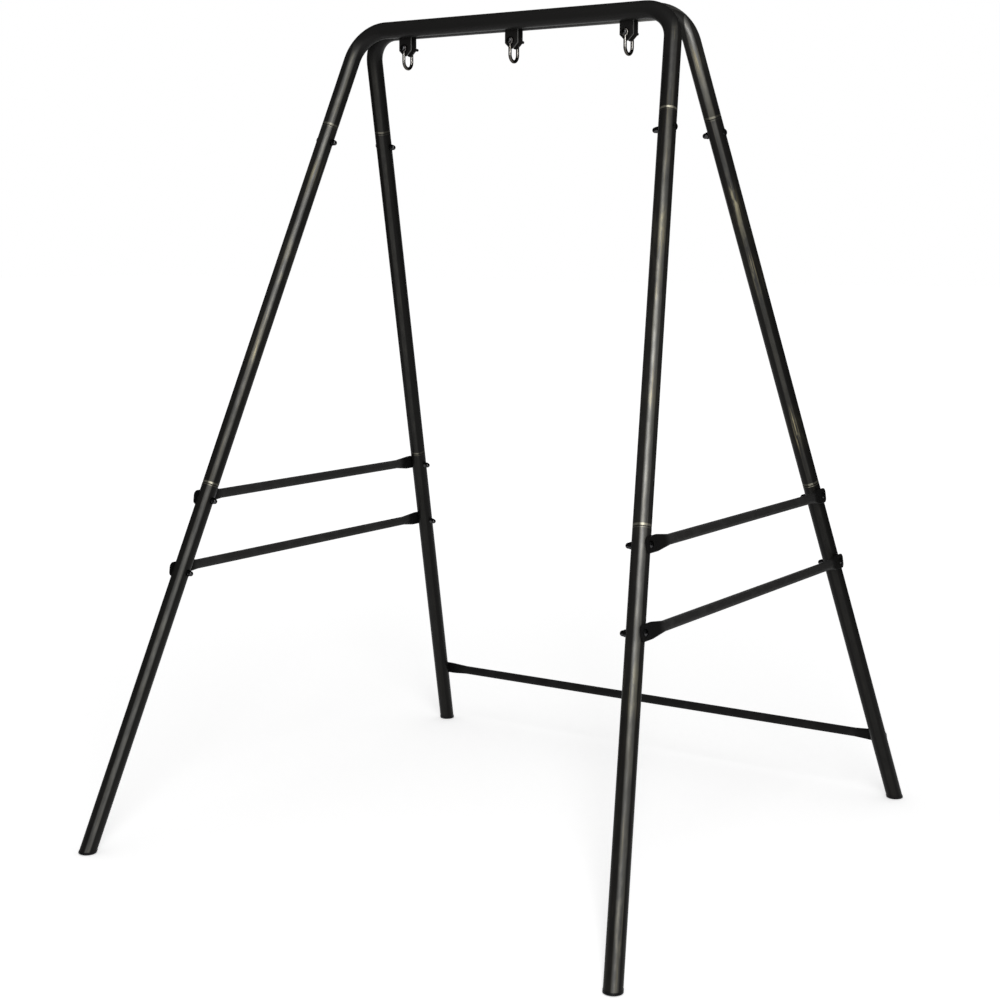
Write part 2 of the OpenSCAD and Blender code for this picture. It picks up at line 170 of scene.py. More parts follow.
class NodeSketch:
    """Node tree of a material or of the surroundings, written as short calls."""

    def __init__(self, owner: Union[bpy.types.Material, bpy.types.World]) -> None:
        """Starts an empty tree.

        Args:
            owner: What the tree belongs to.
        """
        owner.use_nodes = True
        self.tree = owner.node_tree
        self.tree.nodes.clear()

    def add(self, kind: str, levels: Optional[dict[Union[str, int], object]] = None,
            **settings: object) -> bpy.types.Node:
        """Adds one node.

        Args:
            kind: Type of the node.
            levels: What its inputs get, by their names or numbers.
            settings: Properties to set on it.

        Returns:
            The node.
        """
        node = self.tree.nodes.new(kind)
        for key, value in settings.items():
            setattr(node, key, value)
        for key, value in (levels or {}).items():
            self.feed(node.inputs[key], value)
        return node

    def feed(self, socket: Socket, value: object) -> None:
        """Links a socket into an input, or sets the input's own value.

        Args:
            socket: The input.
            value: A socket, a number, a vector or a colour.
        """
        if isinstance(value, Socket):
            self.tree.links.new(value, socket)
        elif socket.type == "RGBA":
            socket.default_value = (*value, 1.0)
        else:
            socket.default_value = value

    def show(self, shader: Socket, output: str = "ShaderNodeOutputMaterial") -> None:
        """Makes a shader the one that shows, through an output node of a given type."""
        self.add(output, {"Surface": shader})

    def math(self, operation: str, *values: Level, clamp: bool = False) -> Socket:
        """Adds one of the math node's sums of one to three numbers, held between 0 and 1 if asked."""
        node = self.add("ShaderNodeMath", dict(enumerate(values)), operation=operation, use_clamp=clamp)
        return node.outputs["Value"]

    def ramp(self, value: Level, start: float, end: float) -> Socket:
        """Rises smoothly from 0 to 1 as a value goes from start to end."""
        levels = {"Value": value, "From Min": start, "From Max": end}
        return self.add("ShaderNodeMapRange", levels, interpolation_type="SMOOTHSTEP").outputs["Result"]

    def line(self, value: Level, start: float, end: float, low: float, high: float) -> Socket:
        """Goes evenly from low to high as a value goes from start to end."""
        levels = {"Value": value, "From Min": start, "From Max": end, "To Min": low, "To Max": high}
        return self.add("ShaderNodeMapRange", levels).outputs["Result"]

    def span(self, share: Level, low: float, high: float) -> Socket:
        """Turns a share between 0 and 1 into a level between low and high."""
        return self.line(share, 0.0, 1.0, low, high)

    def between(self, share: Level, first: Level, second: Level) -> Socket:
        """Gives the number that lies a share of the way from a first to a second one."""
        return self.math("MULTIPLY_ADD", self.math("SUBTRACT", second, first), share, first)

    def blend(self, share: Level, first: Shade, second: Shade, kind: str = "RGBA") -> Socket:
        """Mixes two colours or two vectors.

        Args:
            share: How much of the second one shows.
            first: Colour or socket at 0.
            second: Colour or socket at 1.
            kind: What is mixed, as the mix node has it.

        Returns:
            The mixture.
        """
        node = self.add("ShaderNodeMix", {"Factor": share}, data_type=kind)
        for key, value in (("A", first), ("B", second)):
            self.feed(next(s for s in node.inputs if s.name == key and s.type == kind), value)
        return next(s for s in node.outputs if s.type == kind)

    def spot(self) -> Socket:
        """Gives the place on the object, in metres."""
        return self.add("ShaderNodeTexCoord").outputs["Object"]

    def along(self, leg: LegLine) -> Socket:
        """Gives the place along and around a leg from its corner, with Z up the leg and X facing out."""
        levels = {"Vector": self.spot(), "Location": leg.corner, "Rotation": leg.turn().to_euler()}
        return self.add("ShaderNodeMapping", levels, vector_type="TEXTURE").outputs["Vector"]

    def scaled(self, place: Socket, factors: Sequence[float], shift: float = 0.0) -> Socket:
        """Stretches a place, for grain that runs one way, and shifts it, so that like pieces differ."""
        levels = {"Vector": place, "Scale": factors, "Location": (shift, 2 * shift, 3 * shift)}
        return self.add("ShaderNodeMapping", levels, vector_type="POINT").outputs["Vector"]

    def noise(self, place: Socket, scale: float, detail: float = 2.0) -> Socket:
        """Adds cloudy noise about 0.5, by clouds to a metre and octaves of finer noise."""
        levels = {"Vector": place, "Scale": scale, "Detail": detail}
        return self.add("ShaderNodeTexNoise", levels).outputs["Fac"]

    def axes(self, vector: Socket) -> tuple[Socket, Socket, Socket]:
        """Splits a place into its three axes."""
        outputs = self.add("ShaderNodeSeparateXYZ", {"Vector": vector}).outputs
        return outputs["X"], outputs["Y"], outputs["Z"]

    def seen(self) -> Socket:
        """Tells where the background is seen from where it only lights.

        Returns:
            1 where it is seen, straight or in a reflection, and else 0.
        """
        path = self.add("ShaderNodeLightPath").outputs
        share = path["Is Camera Ray"]
        for name in ("Is Glossy Ray", "Is Transmission Ray"):
            share = self.math("MAXIMUM", share, path[name])
        return share


class PaintSketch(NodeSketch):
    """Node tree of one material with a glossy and diffuse surface."""

    def __init__(self, name: str) -> None:
        """Starts the material.

        Args:
            name: Name of the material.
        """
        self.material = bpy.data.materials.new(name)
        super().__init__(self.material)
        self.surface = self.add("ShaderNodeBsdfPrincipled")
        self.show(self.surface.outputs["BSDF"])

    def set(self, **levels: object) -> None:
        """Sets inputs of the surface, with spaces written as underscores."""
        for key, value in levels.items():
            self.feed(self.surface.inputs[key.replace("_", " ")], value)

    def bump(self, height: Socket, depth: float) -> None:
        """Roughens the surface by a height map between 0 and 1, to a depth in metres."""
        node = self.add("ShaderNodeBump", {"Distance": depth, "Height": height})
        self.set(Normal=node.outputs["Normal"])


@dataclass(frozen=True)
class Patch:
    """One patch of bronze: distances from the leg's corner, and its strength from 0 to 1."""

    start: float
    end: float
    strength: float


@dataclass(frozen=True)
class SheenAndWiping:
    """Painted sheen and wiping on a tube, in levels from 0 to 1.

    The veil is given at the tube's start, middle and end; these levels are painted light, high where
    the front light falls. The ring is the worn edge above the joint at the tube's end, and the rim the one
    below the joint at its start. The highlight spread is how wide the painted highlight strips are, and
    the fade the distances from the corner between which a top tube's sheen and wiping start.
    """

    veil: Triple
    patches: tuple[Patch, ...] = ()
    ring: float = 0.0
    rim: float = 0.0
    spread: float = 1.0
    fade: Span = (0.02, 0.11)


@dataclass(frozen=True)
class WipedTube:
    """A tube to paint.

    It has one leg, or the left and the right one of a top tube, with the painted sheen and wiping on each.
    Start and end are the distances of its ends from the corner, and the seed shifts its grain.
    """

    legs: tuple[LegLine, ...]
    rubs: tuple[SheenAndWiping, ...]
    start: float
    end: float
    seed: float


@dataclass(frozen=True)
class Grain:
    """Marks that run along a tube.

    The count is of marks to a metre across the tube, and the stretch how much longer than wide they
    are. The detail is in octaves, and the cut the noise levels between which a mark starts to show.
    """

    count: float
    stretch: float
    detail: float
    cut: Span


@dataclass(frozen=True)
class BrushedTubePaint:
    """Satin black paint under a thin metal veil, bronze-wiped, worn bright at joints, with painted
    highlight strips.
    """

    black: Colour = (0.0062, 0.0059, 0.0055)
    bar_black: Colour = (0.0135, 0.0132, 0.0128)
    veil: Colour = (0.200, 0.198, 0.189)
    bronze: Colour = (0.270, 0.246, 0.160)
    gold: Colour = (0.44, 0.38, 0.22)
    bare: Colour = (0.55, 0.52, 0.41)
    roughness: Span = (0.34, 0.50)
    gloss: float = 0.08
    # Bronze strokes, thin bright scratches, and blotches that break up the wiping
    strokes: Grain = Grain(150.0, 24.0, 4.0, (0.40, 0.64))
    scratches: Grain = Grain(250.0, 30.0, 1.0, (0.60, 0.69))
    blotches: Grain = Grain(95.0, 3.5, 3.0, (0.46, 0.66))
    # How strongly the wiping shows from the faintest to the boldest blotches
    blotch_levels: Span = (0.34, 0.66)
    blotch_wiping: Span = (0.80, 1.16)
    # Clouds that make the veil and the patches uneven: clouds to a metre, their scale across a tube,
    # how they change the veil, and the levels between which a patch shows
    clouds: float = 7.5
    cloud_across: float = 0.6
    veil_clouds: Span = (0.75, 1.15)
    patch_cut: Span = (0.24, 0.52)
    # Bronze outside the patches, and softness of the patches' ends
    stray: float = 0.13
    soft: float = 0.035
    # Painted highlight strips round the tube, where the veil and the bronze show: their count, how far
    # their edges and their even tops lie from their middles, on a scale where 2 is halfway to the next
    # strip, where one of them faces in each row, towards the front light, and the level between the strips
    sides: int = 3
    highlight_strip_edge: float = 0.88
    highlight_strip_top: float = 0.20
    front_highlight_facing: Triple = (0.60, -0.80, 0.0)
    rear_highlight_facing: Triple = (0.40, -0.92, 0.0)
    off_highlight: float = 0.07
    # Worn edges: how far they lie from the joint, how wide they are, the shares of that width between
    # which they grow, how strong they are beside the highlight strips, as they are brightest on the
    # strips, a painted highlight, the stroke levels between which they show, and how much of them is bare
    # metal
    ring_off: float = 0.0033
    ring_width: float = 0.0050
    rim_off: float = 0.0024
    rim_width: float = 0.0018
    edge_growth: Span = (0.6, 0.3)
    worn_off_highlight: float = 0.16
    worn_cut: Span = (0.15, 0.50)
    worn_metal: float = 0.75
    peel: float = 700.0
    peel_depth: float = 0.00003

    def material(self, name: str, tube: WipedTube) -> bpy.types.Material:
        """Makes the paint of one tube."""
        return TubeCoat(name, self, tube).lay()


class TubeCoat(PaintSketch):
    """Paint of one tube in the making."""

    def __init__(self, name: str, finish: BrushedTubePaint, tube: WipedTube) -> None:
        """Works out the place along and around the tube, and the painted highlight strips that face the
        front light.

        Args:
            name: Name of the material.
            finish: The paint.
            tube: The tube.
        """
        super().__init__(name)
        self.finish = finish
        self.tube = tube
        # Each leg's place and its painted highlight strips, which are kept as self.side
        places, sides = zip(*(self._place(leg, rub.spread) for leg, rub in zip(tube.legs, tube.rubs)))
        self.place = places[0]
        if len(places) > 1:
            self.place = self.blend(self._on_right(), *places, kind="VECTOR")
        self.side = self._by_leg(sides)
        self.down = self.math("MULTIPLY", self.axes(self.place)[Axis.Z], -1.0)
        factors = (finish.cloud_across, finish.cloud_across, 1.0)
        self.cloud = self.noise(self.scaled(self.place, factors, tube.seed), finish.clouds)

    def lay(self) -> bpy.types.Material:
        """Lays the black, the veil, the bronze, the scratches and the worn edges, with painted highlight
        strips.

        Returns:
            The material.
        """
        finish, rubs, seed = self.finish, self.tube.rubs, self.tube.seed
        brush = self._grain(finish.strokes, self.place, Axis.Z, seed)
        line = self._grain(finish.scratches, self.place, Axis.Z, -seed)
        blotch = self._grain(finish.blotches, self.place, Axis.Z, 2 * seed)
        # self.side is the painted highlight strip; the veil and the bronze show mostly on it
        sheen_and_wiping = self.side
        black: Shade = finish.black
        if len(rubs) > 1:
            on_leg = self._by_leg([self.ramp(self.down, *rub.fade) for rub in rubs])
            sheen_and_wiping = self.math("MULTIPLY", self.side, on_leg)
            brush = self.between(on_leg, self._grain(finish.strokes, self.spot(), Axis.X), brush)
            black = self.blend(on_leg, finish.bar_black, finish.black)
        cover = self._by_leg([self._cover(rub) for rub in rubs])
        cover = self.math("MULTIPLY", cover, sheen_and_wiping)
        uneven = self.line(blotch, *finish.blotch_levels, *finish.blotch_wiping)
        sheen_and_wiping = self.math("MULTIPLY", sheen_and_wiping, uneven)
        # The veil levels per leg are painted light, high where the front light falls
        veil = self._by_leg([self._veil(rub) for rub in rubs])
        veil = self.math("MULTIPLY", veil, sheen_and_wiping, clamp=True)
        marks = (self.ramp(brush, *finish.strokes.cut), self.ramp(blotch, *finish.blotches.cut))
        bronze = self.math("MULTIPLY", self.math("MAXIMUM", *marks), cover)
        scratch = self.math("MULTIPLY", self.ramp(line, *finish.scratches.cut), cover)
        colour = self.blend(veil, black, finish.veil)
        colour = self.blend(bronze, colour, finish.bronze)
        colour = self.blend(scratch, colour, finish.gold)
        metal = self.math("MAXIMUM", self.math("MAXIMUM", veil, bronze), scratch)
        # Worn edges show brightest on the painted highlight strips: part wear, part painted highlight
        wear_and_highlight = self.math("MAXIMUM", self.side, finish.worn_off_highlight)
        wear_and_highlight = self.math("MULTIPLY", wear_and_highlight, self.ramp(brush, *finish.worn_cut))
        for edge in self._worn_edges():
            worn = self.math("MULTIPLY", edge, wear_and_highlight)
            colour = self.blend(worn, colour, finish.bare)
            metal = self.math("MAXIMUM", metal, self.math("MULTIPLY", worn, finish.worn_metal))
        self.set(Base_Color=colour, Metallic=metal, Roughness=self.span(brush, *finish.roughness),
                 Specular_IOR_Level=finish.gloss)
        self.bump(self.noise(self.place, finish.peel, detail=1.0), finish.peel_depth)
        return self.material

    def _on_right(self) -> Socket:
        """Gives 1 on the right half of a top tube and 0 on the left."""
        return self.math("GREATER_THAN", self.axes(self.spot())[Axis.X], 0.0)

    def _by_leg(self, levels: Sequence[Level]) -> Level:
        """Gives the level of the leg at hand, from that of the only leg or those of the left and right."""
        return levels[0] if len(levels) == 1 else self.between(self._on_right(), *levels)

    def _grain(self, grain: Grain, place: Socket, along: Axis, seed: float = 0.0) -> Socket:
        """Gives noise that runs along one axis of a place, shifted by a seed."""
        factors = [1 / grain.stretch if axis is along else 1.0 for axis in Axis]
        return self.noise(self.scaled(place, factors, seed), grain.count, grain.detail)

    def _place(self, leg: LegLine, spread: float) -> tuple[Socket, Socket]:
        """Gives the place along and around one leg, and its painted highlight strips.

        Args:
            leg: The leg.
            spread: How wide the painted highlight strips are.

        Returns:
            The place, and the highlight level from 0 to 1.
        """
        finish = self.finish
        place = self.along(leg)
        # The strips face the front light, as a painted highlight
        facing = Vector(finish.front_highlight_facing if leg.row is Row.FRONT else finish.rear_highlight_facing)
        facing = leg.turn().transposed() @ facing
        across, beyond, _ = self.axes(place)
        angle = self.math("ARCTAN2", beyond, across)
        turned = self.math("SUBTRACT", angle, math.atan2(facing.y, facing.x))
        wave = self.math("COSINE", self.math("MULTIPLY", turned, float(finish.sides)))
        highlight_level = self.ramp(wave, 1 - finish.highlight_strip_edge * spread, 1 - finish.highlight_strip_top * spread)
        return place, self.span(highlight_level, finish.off_highlight, 1.0)

    def _veil(self, rub: SheenAndWiping) -> Socket:
        """Gives the level of the veil along the tube, painted light set by where the front light falls.

        Args:
            rub: The painted sheen and wiping on it.

        Returns:
            The level.
        """
        middle = (self.tube.start + self.tube.end) / 2
        first, second, third = rub.veil
        upper = self.line(self.down, self.tube.start, middle, first, second)
        lower = self.line(self.down, middle, self.tube.end, 0.0, third - second)
        uneven = self.span(self.cloud, *self.finish.veil_clouds)
        return self.math("MULTIPLY", self.math("ADD", upper, lower), uneven)

    def _cover(self, rub: SheenAndWiping) -> Socket:
        """Gives how much bronze lies at a place.

        Args:
            rub: The painted sheen and wiping on the tube.

        Returns:
            The cover, from 0 to 1.
        """
        soft = self.finish.soft
        cover: Level = self.finish.stray * max(rub.veil)
        for patch in rub.patches:
            below = self.ramp(self.down, patch.start - soft, patch.start + soft)
            above = self.ramp(self.down, patch.end + soft, patch.end - soft)
            within = self.math("MULTIPLY", below, above)
            cover = self.math("MAXIMUM", cover, self.math("MULTIPLY", within, patch.strength))
        return self.math("MULTIPLY", cover, self.ramp(self.cloud, *self.finish.patch_cut))

    def _worn_edges(self) -> Iterator[Socket]:
        """Yields the worn edges at the tube's ends.

        Yields:
            The share of each edge, from 0 to 1.
        """
        finish, tube = self.finish, self.tube
        edges = (([rub.ring for rub in tube.rubs], tube.end - finish.ring_off, finish.ring_width),
                 ([rub.rim for rub in tube.rubs], tube.start + finish.rim_off, finish.rim_width))
        for strengths, middle, width in edges:
            if max(strengths) > 0:
                off = self.math("ABSOLUTE", self.math("SUBTRACT", self.down, middle))
                edge = self.ramp(off, *(share * width for share in finish.edge_growth))
                yield self.math("MULTIPLY", edge, self._by_leg(strengths))


@dataclass(frozen=True)
class ShadedEnds:
    """Ends of a piece that lies evenly about the middle: its axis, and where painted shade darkens the
    coat.
    """

    axis: Axis
    start: float
    end: float


@dataclass(frozen=True)
class SatinBlackPaint:
    """Plain satin black coat with a fine orange peel and a faint grey bloom; it can take painted shade at
    its ends and a painted highlight on plate edges.
    """

    black: Colour = (0.0135, 0.0128, 0.0124)
    bloom: Colour = (0.0180, 0.0172, 0.0168)
    end_shade: Colour = (0.0085, 0.0083, 0.0081)
    roughness: Span = (0.34, 0.50)
    gloss: float = 0.08
    peel: float = 520.0
    peel_depth: float = 0.00005
    # Blotches to a metre, and the levels between which the bloom shows on them
    blotches: float = 28.0
    bloom_cut: Span = (0.45, 0.75)
    # Painted highlight on the edges of a plate that stands square to Y, if it has one: its colour, how far
    # the edges have to face away from Y, and the blotch levels between which it shows
    edge_highlight: Optional[Colour] = None
    edge_highlight_facing: Span = (0.8, 0.3)
    edge_highlight_levels: Span = (0.2, 0.5)

    def material(self, name: str, ends: Optional[ShadedEnds] = None) -> bpy.types.Material:
        """Makes the paint.

        Args:
            name: Name of the material.
            ends: Ends that get painted shade, if there are any.

        Returns:
            The material.
        """
        sketch = PaintSketch(name)
        spot = sketch.spot()
        blotch = sketch.noise(spot, self.blotches, detail=5.0)
        colour = sketch.blend(sketch.ramp(blotch, *self.bloom_cut), self.black, self.bloom)
        if ends is not None:
            # Painted shade: the coat darkens towards the ends
            away = sketch.math("ABSOLUTE", sketch.axes(spot)[ends.axis])
            colour = sketch.blend(sketch.ramp(away, ends.start, ends.end), colour, self.end_shade)
        # Painted highlight on the plate's edges that face away from Y
        if self.edge_highlight is not None:
            normal = sketch.add("ShaderNodeTexCoord").outputs["Normal"]
            facing = sketch.math("ABSOLUTE", sketch.axes(normal)[Axis.Y])
            edge = sketch.ramp(facing, *self.edge_highlight_facing)
            edge = sketch.math("MULTIPLY", edge, sketch.ramp(blotch, *self.edge_highlight_levels))
            colour = sketch.blend(edge, colour, self.edge_highlight)
        sketch.set(Base_Color=colour, Roughness=sketch.span(blotch, *self.roughness),
                   Specular_IOR_Level=self.gloss)
        sketch.bump(sketch.noise(spot, self.peel), self.peel_depth)
        return sketch.material


@dataclass(frozen=True)
class BlackZincPlate:
    """Glossy black plating of the fasteners, rubbed a little paler and duller in places."""

    black: Colour = (0.050, 0.050, 0.052)
    rubbed: Colour = (0.080, 0.078, 0.073)
    edge: Colour = (0.05, 0.05, 0.05)
    roughness: Span = (0.17, 0.35)
    # Rubbed places to a metre, and the levels between which they show
    rubs: float = 420.0
    rub_cut: Span = (0.52, 0.80)

    def material(self, name: str) -> bpy.types.Material:
        """Makes the plating.

        Args:
            name: Name of the material.

        Returns:
            The material.
        """
        sketch = PaintSketch(name)
        rub = sketch.ramp(sketch.noise(sketch.spot(), self.rubs, detail=4.0), *self.rub_cut)
        sketch.set(Base_Color=sketch.blend(rub, self.black, self.rubbed), Metallic=1.0,
                   Roughness=sketch.span(rub, *self.roughness), Specular_Tint=self.edge)
        return sketch.material


@dataclass(frozen=True)
class BrightNickelPlate:
    """Bright plate over drawn bar: fine lines, a little brown tarnish, and painted shade on the eyes and
    the bow.
    """

    nickel: Colour = (0.31, 0.30, 0.28)
    tarnish: Colour = (0.13, 0.115, 0.09)
    bow_shade: Colour = (0.075, 0.069, 0.060)
    shaded_eye_colour: Colour = (0.050, 0.046, 0.045)
    edge: Colour = (0.08, 0.076, 0.068)
    # Heights between which painted shade darkens the bow
    bow_from: float = 1.782
    bow_to: float = 1.769
    # Heights between which painted shade darkens the eyes
    eye_from: float = 1.793
    eye_to: float = 1.800
    roughness: Span = (0.10, 0.26)
    # Drawn lines to a metre, how wide they are for their length, and their depth
    drawn_lines: float = 900.0
    line_width: float = 0.06
    line_depth: float = 0.000008
    # Clouds of tarnish to a metre, and the levels between which they show
    clouds: float = 60.0
    tarnish_cut: Span = (0.45, 0.78)

    def material(self, name: str, eye_shading: float) -> bpy.types.Material:
        """Makes the plate.

        Args:
            name: Name of the material.
            eye_shading: How much painted shade darkens the eyes, from 0 to 1.

        Returns:
            The material.
        """
        sketch = PaintSketch(name)
        spot = sketch.spot()
        lines = sketch.noise(sketch.scaled(spot, (1.0, 1.0, self.line_width)), self.drawn_lines)
        cloud = sketch.ramp(sketch.noise(spot, self.clouds, detail=4.0), *self.tarnish_cut)
        height = sketch.axes(spot)[Axis.Z]
        # Painted shade darkens the bow's bottom and the eyes
        bow = sketch.ramp(height, self.bow_from, self.bow_to)
        eye = sketch.math("MULTIPLY", sketch.ramp(height, self.eye_from, self.eye_to), eye_shading)
        colour = sketch.blend(cloud, self.nickel, self.tarnish)
        colour = sketch.blend(eye, colour, self.shaded_eye_colour)
        sketch.set(Base_Color=sketch.blend(bow, colour, self.bow_shade), Metallic=1.0,
                   Roughness=sketch.span(lines, *self.roughness), Specular_Tint=self.edge)
        sketch.bump(lines, self.line_depth)
        return sketch.material


@dataclass(frozen=True)
class MouldedBlackPlastic:
    """Moulded black plastic with a fine matt grain, scuffed grey near the floor."""

    black: Colour = (0.0040, 0.0040, 0.0042)
    scuff: Colour = (0.022, 0.022, 0.023)
    roughness: Span = (0.38, 0.54)
    gloss: float = 0.14
    grain: float = 1400.0
    grain_depth: float = 0.00005
    # Scuffs to a metre, the levels between which they show, and how high they reach
    scuffs: float = 160.0
    scuff_cut: Span = (0.45, 0.70)
    scuff_height: float = 0.006

    def material(self, name: str) -> bpy.types.Material:
        """Makes the plastic.

        Args:
            name: Name of the material.

        Returns:
            The material.
        """
        sketch = PaintSketch(name)
        spot = sketch.spot()
        low = sketch.ramp(sketch.axes(spot)[Axis.Z], self.scuff_height, 0.0)
        rubbed = sketch.ramp(sketch.noise(spot, self.scuffs, detail=4.0), *self.scuff_cut)
        scuff = sketch.math("MULTIPLY", low, rubbed)
        grain = sketch.noise(spot, self.grain)
        sketch.set(Base_Color=sketch.blend(scuff, self.black, self.scuff),
                   Roughness=sketch.span(grain, *self.roughness), Specular_IOR_Level=self.gloss)
        sketch.bump(grain, self.grain_depth)
        return sketch.material


@dataclass(frozen=True)
class StudioFloor:
    """White studio floor that stays white to the eye and keeps pale shadows."""

    bounce: float = 0.85
    shade: float = 0.95
    # Glow near the object and far from it, and the distances between which it grows, because the
    # lamp's light falls off
    near_glow: float = 0.44
    far_glow: float = 0.62
    near: float = 0.6
    far: float = 5.0

    def material(self, name: str) -> bpy.types.Material:
        """Makes the floor.

        Args:
            name: Name of the material.

        Returns:
            The material.
        """
        material = bpy.data.materials.new(name)
        sketch = NodeSketch(material)
        bounced = sketch.add("ShaderNodeBsdfDiffuse", {"Color": (self.bounce,) * 3})
        shaded = sketch.add("ShaderNodeBsdfDiffuse", {"Color": (self.shade,) * 3})
        away = sketch.add("ShaderNodeVectorMath", {0: sketch.spot()}, operation="LENGTH")
        level = sketch.line(away.outputs["Value"], self.near, self.far, self.near_glow, self.far_glow)
        glow = sketch.add("ShaderNodeEmission", {"Strength": level})
        seen = sketch.add("ShaderNodeAddShader", {0: shaded.outputs["BSDF"], 1: glow.outputs["Emission"]})
        shaders = {"Fac": sketch.seen(), 1: bounced.outputs["BSDF"], 2: seen.outputs["Shader"]}
        sketch.show(sketch.add("ShaderNodeMixShader", shaders).outputs["Shader"])
        return material


def paint(nodes: Iterable[bpy.types.Object], material: bpy.types.Material) -> None:
    """Gives objects one material.

    Args:
        nodes: The objects.
        material: Their material.
    """
    for node in nodes:
        node.data.materials.clear()
        node.data.materials.append(material)
        LOG.info("dressed %s in %s", node.name, material.name)


def object_from(bm: bmesh.types.BMesh, name: str, material: bpy.types.Material) -> bpy.types.Object:
    """Turns a mesh into an object of the scene.

    Args:
        bm: The mesh, in its place. It is freed.
        name: Name of the object.
        material: Its material.

    Returns:
        The object.
    """
    mesh = bpy.data.meshes.new(name)
    bm.to_mesh(mesh)
    bm.free()
    mesh.materials.append(material)
    made = bpy.data.objects.new(name, mesh)
    bpy.context.scene.collection.objects.link(made)
    return made


def piece_from(bm: bmesh.types.BMesh, name: str, material: bpy.types.Material) -> bpy.types.Object:
    """Turns a finished mesh into a smooth piece that rides on the frame.

    Args:
        bm: The mesh, in its place. It is freed.
        name: Name of the piece.
        material: Its material.

    Returns:
        The piece.
    """
    bmesh.ops.remove_doubles(bm, verts=bm.verts, dist=MERGE_DISTANCE)
    bmesh.ops.recalc_face_normals(bm, faces=bm.faces)
    piece = object_from(bm, name, material)
    piece.data.shade_smooth()
    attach(piece, FRAME_BODY)
    LOG.info("built %s with %d faces", name, len(piece.data.polygons))
    return piece


def edges_at(verts: Iterable[bmesh.types.BMVert]) -> list[bmesh.types.BMEdge]:
    """Lists the edges at some vertices, each of them once."""
    return list(dict.fromkeys(edge for vert in verts for edge in vert.link_edges))


def faces_at(verts: Iterable[bmesh.types.BMVert]) -> list[bmesh.types.BMFace]:
    """Lists the faces at some vertices, each of them once."""
    return list(dict.fromkeys(face for vert in verts for face in vert.link_faces))


@dataclass
class LegSet:
    """The four legs, each an upper and a lower length of tube."""

    layout: FrameLayout
    finish: BrushedTubePaint = field(default_factory=BrushedTubePaint)
    # Painted sheen and wiping on the upper and the lower length of each leg: the veil levels are painted
    # light, high on the front legs that face the light and low on the rear ones
    upper: dict[tuple[Row, Side], SheenAndWiping] = field(default_factory=lambda: {
        (Row.FRONT, Side.LEFT): SheenAndWiping(
            (0.72, 0.68, 0.34), (Patch(0.33, 0.44, 0.8), Patch(0.52, 0.64, 0.4), Patch(0.70, 0.82, 0.4)),
            ring=0.9, rim=0.2, spread=0.75),
        (Row.FRONT, Side.RIGHT): SheenAndWiping(
            (0.28, 0.90, 0.86), (Patch(0.46, 0.64, 0.8), Patch(0.80, 0.88, 0.5)), ring=1.0, rim=0.1),
        (Row.REAR, Side.LEFT): SheenAndWiping((0.15, 0.12, 0.11), ring=0.3, rim=0.2, spread=0.7),
        (Row.REAR, Side.RIGHT): SheenAndWiping(
            (0.34, 0.20, 0.15), (Patch(0.38, 0.52, 0.9), Patch(0.54, 0.64, 0.4), Patch(0.93, 1.02, 0.7)),
            ring=0.6, rim=0.2, spread=0.6),
    })
    lower: dict[tuple[Row, Side], SheenAndWiping] = field(default_factory=lambda: {
        (Row.FRONT, Side.LEFT): SheenAndWiping((0.40, 0.46, 0.44), rim=0.6, spread=0.7),
        (Row.FRONT, Side.RIGHT): SheenAndWiping(
            (0.88, 0.42, 0.38), (Patch(1.38, 1.48, 0.4), Patch(1.82, 2.10, 0.15)), rim=0.4),
        (Row.REAR, Side.LEFT): SheenAndWiping((0.06, 0.05, 0.05), rim=0.2),
        (Row.REAR, Side.RIGHT): SheenAndWiping((0.06, 0.05, 0.05), rim=0.6),
    })
    upper_seed: float = 1.7
    lower_seed: float = 7.3

    def dress(self, nodes: Nodes) -> None:
        """Paints the eight lengths of tube.

        Args:
            nodes: The frame's nodes by name.
        """
        top, joint, floor = self.layout.stub_len, self.layout.lower_joint, self.layout.leg_len
        lengths = (("upper", self.upper, top, joint, self.upper_seed),
                   ("lower", self.lower, joint, floor, self.lower_seed))
        for count, leg in enumerate(self.layout.legs()):
            place = f"{leg.row.name}_{leg.side.name}".lower()
            for part, rubs, start, end, seed in lengths:
                tube = WipedTube((leg,), (rubs[leg.row, leg.side],), start, end, seed + count)
                coat = self.finish.material(f"{part}_leg_paint_{place}", tube)
                paint([nodes[f"{part}_leg_{place}"]], coat)


